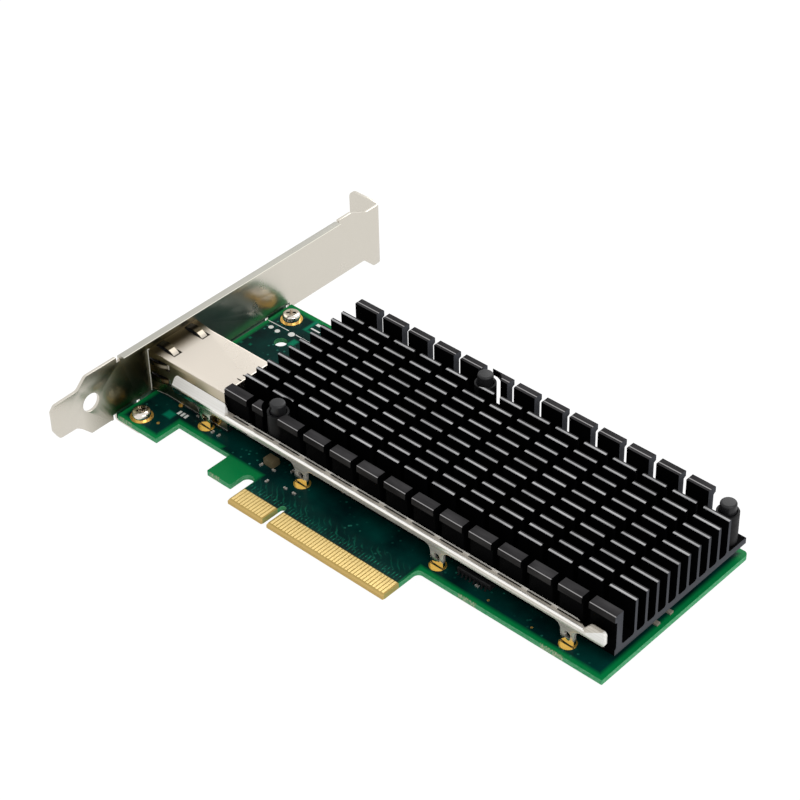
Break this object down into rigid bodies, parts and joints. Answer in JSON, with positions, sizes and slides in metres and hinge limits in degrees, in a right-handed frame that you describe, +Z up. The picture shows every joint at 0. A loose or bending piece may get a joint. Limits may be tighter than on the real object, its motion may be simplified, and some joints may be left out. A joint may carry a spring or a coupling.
{
  "type": "network interface card",
  "caption": "Plug-in network card with a shielded jack behind a full-height bracket, a card edge, a stiffening rail and a large cross-cut finned heat sink held by push pins.",
  "frame": {"origin": "middle of the key notch in the card edge, on the line of the contact tips, at the component side of the board", "axes": "+X along the card from the bracket to the far end, +Y from the card edge to the rear edge, +Z up out of the component side of the board"},
  "size_m": [0.1658, 0.1216, 0.0225],
  "materials": {
    "solder_mask": "gloss green",
    "gold": "gold plated",
    "bracket_steel": "satin plated",
    "screw_steel": "bright",
    "shield_steel": "satin",
    "black_plastic": "matte",
    "lamp_plastic": "clear",
    "tin": "tinned",
    "black_anodised": "black anodised",
    "pin_plastic": "matte",
    "rail_nickel": "bright nickel",
    "chip_substrate": "gloss",
    "lid_nickel": "satin nickel",
    "thermal_rubber": "matte",
    "capacitor_ceramic": "matte ceramic",
    "ferrite": "matte",
    "chip_epoxy": "matte",
    "passive_ceramic": "matte ceramic"
  },
  "bodies": {
    "root": {"circuit_board": "solder_mask", "edge_contacts_top": "gold", "edge_contacts_under": "gold", "screw_pads": "gold", "rail_pads": "gold", "bracket": "bracket_steel", "bracket_screws": "screw_steel", "jack_shield": "shield_steel", "jack_housing": "black_plastic", "jack_contacts": "gold", "jack_lamps": "lamp_plastic", "jack_magnetics": "black_plastic", "jack_pins": "tin", "heat_sink": "black_anodised", "push_pins": "pin_plastic", "pin_sleeves": "pin_plastic", "stiffener_rail": "rail_nickel", "controller_base": "chip_substrate", "controller_lid": "lid_nickel", "thermal_pad": "thermal_rubber", "ceramic_capacitors": "capacitor_ceramic", "power_inductors": "ferrite", "regulator_chips": "chip_epoxy", "flash_chip": "chip_epoxy", "rail_side_chip": "chip_epoxy", "crystal_can": "tin", "chip_passives": "passive_ceramic", "underside_passives": "passive_ceramic"}
  },
  "joints": []
}
